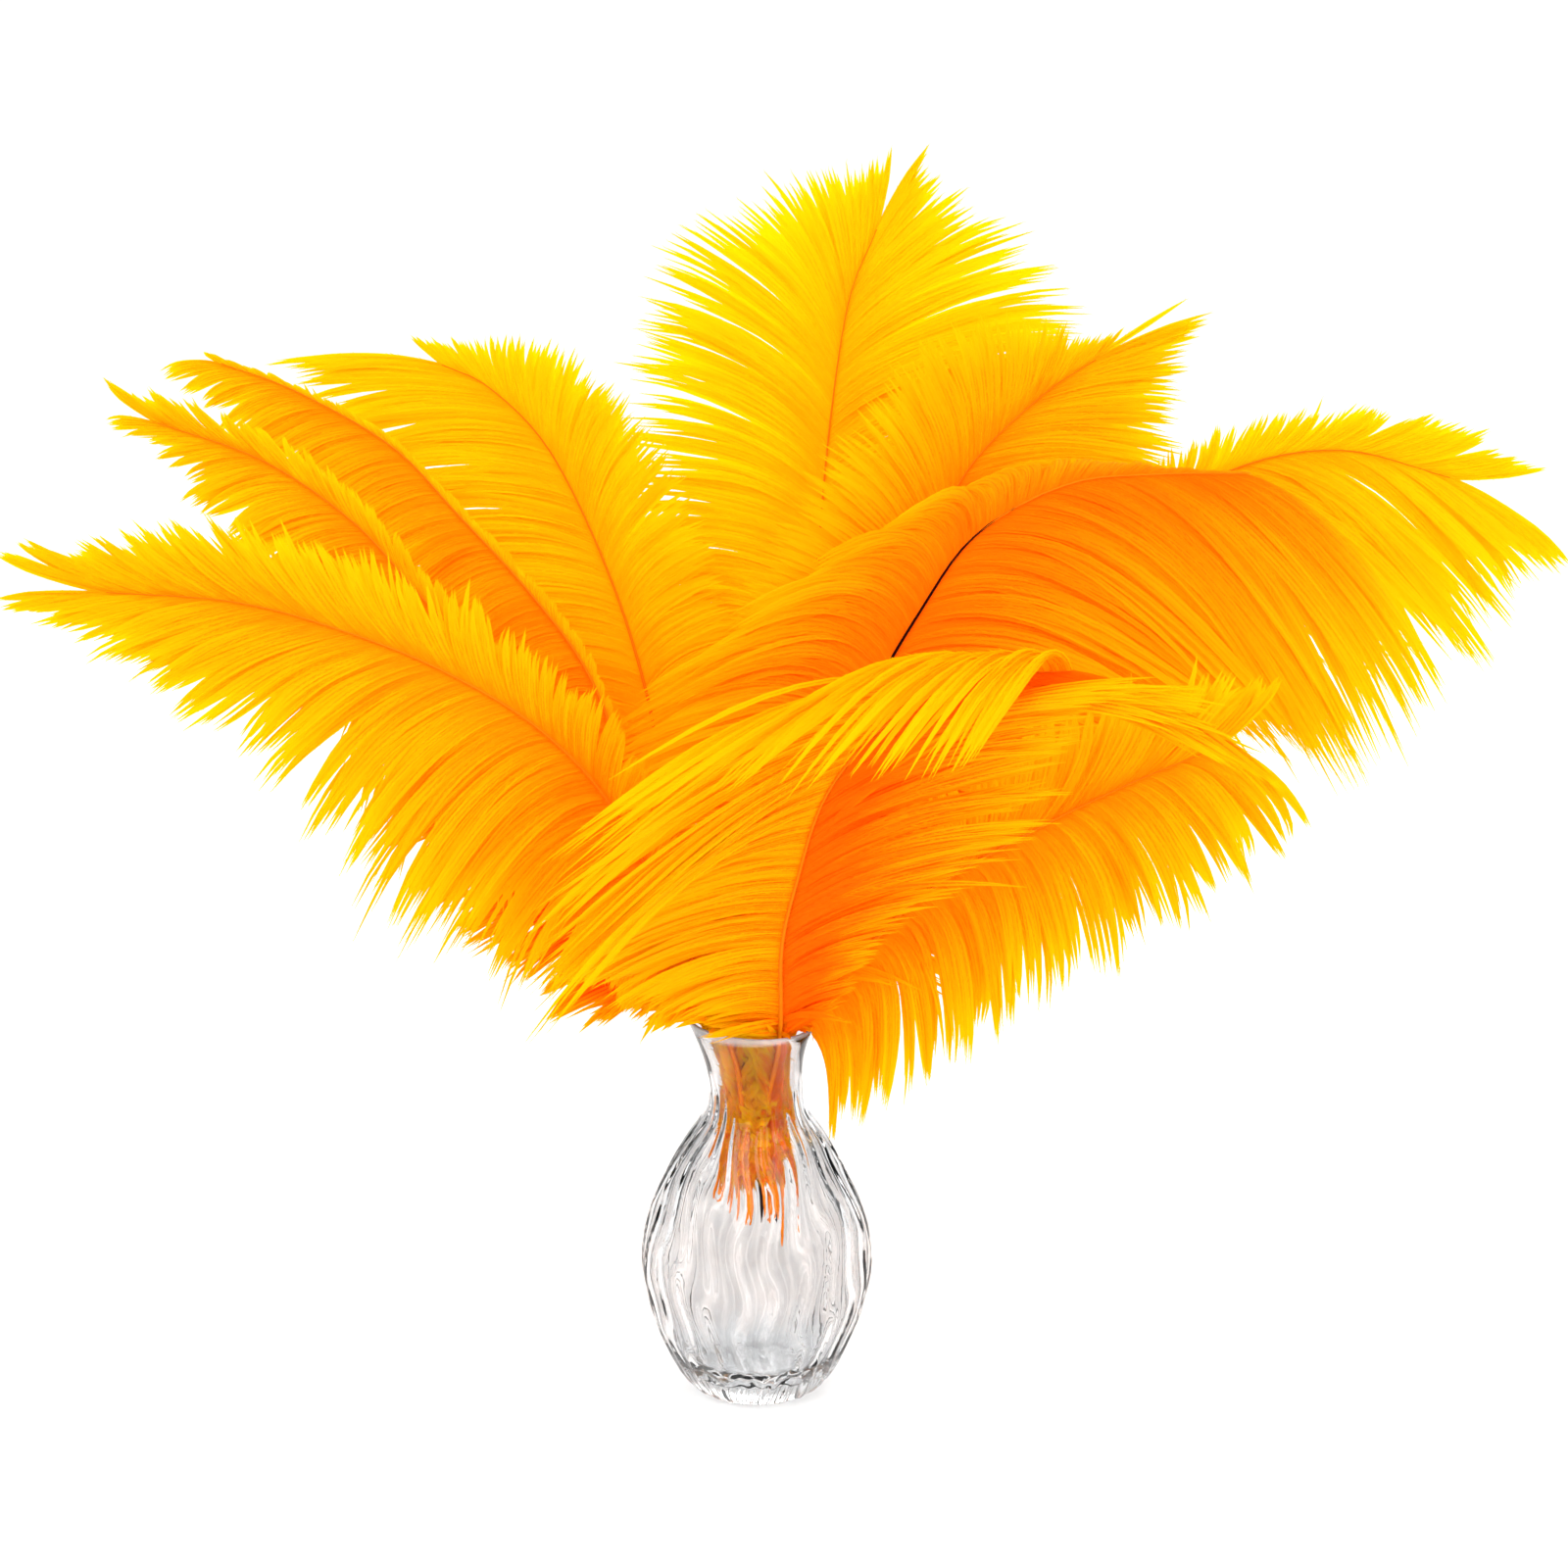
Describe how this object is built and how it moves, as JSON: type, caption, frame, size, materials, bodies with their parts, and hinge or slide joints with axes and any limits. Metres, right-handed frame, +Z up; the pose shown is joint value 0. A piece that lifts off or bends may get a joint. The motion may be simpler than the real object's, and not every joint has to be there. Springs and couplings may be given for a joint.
{
  "type": "ostrich plume arrangement in vase",
  "caption": "Dyed ostrich plumes fanned out of a fluted clear-glass bud vase that stands on its flat foot.",
  "frame": {"origin": "centre of the vase's flat foot, on the surface that it stands on", "axes": "+Z up, +X to the right as seen from the front, and the plumes' fronts face -Y"},
  "size_m": [0.5255, 0.2351, 0.4246],
  "materials": {
    "vase_glass": "clear, polished, pressed with upright flutes",
    "plume_dye": "matte barbs, dyed yellow at the tips to deep orange at the quill"
  },
  "bodies": {
    "root": {"vase": "vase_glass", "plume_top": "plume_dye", "plume_upper_left": "plume_dye", "plume_left_high": "plume_dye", "plume_left_middle": "plume_dye", "plume_left_low": "plume_dye", "plume_lower_left": "plume_dye", "plume_upper_right": "plume_dye", "plume_right_arch": "plume_dye", "plume_far_right": "plume_dye", "plume_front_fold": "plume_dye", "plume_lower_right": "plume_dye"}
  },
  "joints": []
}
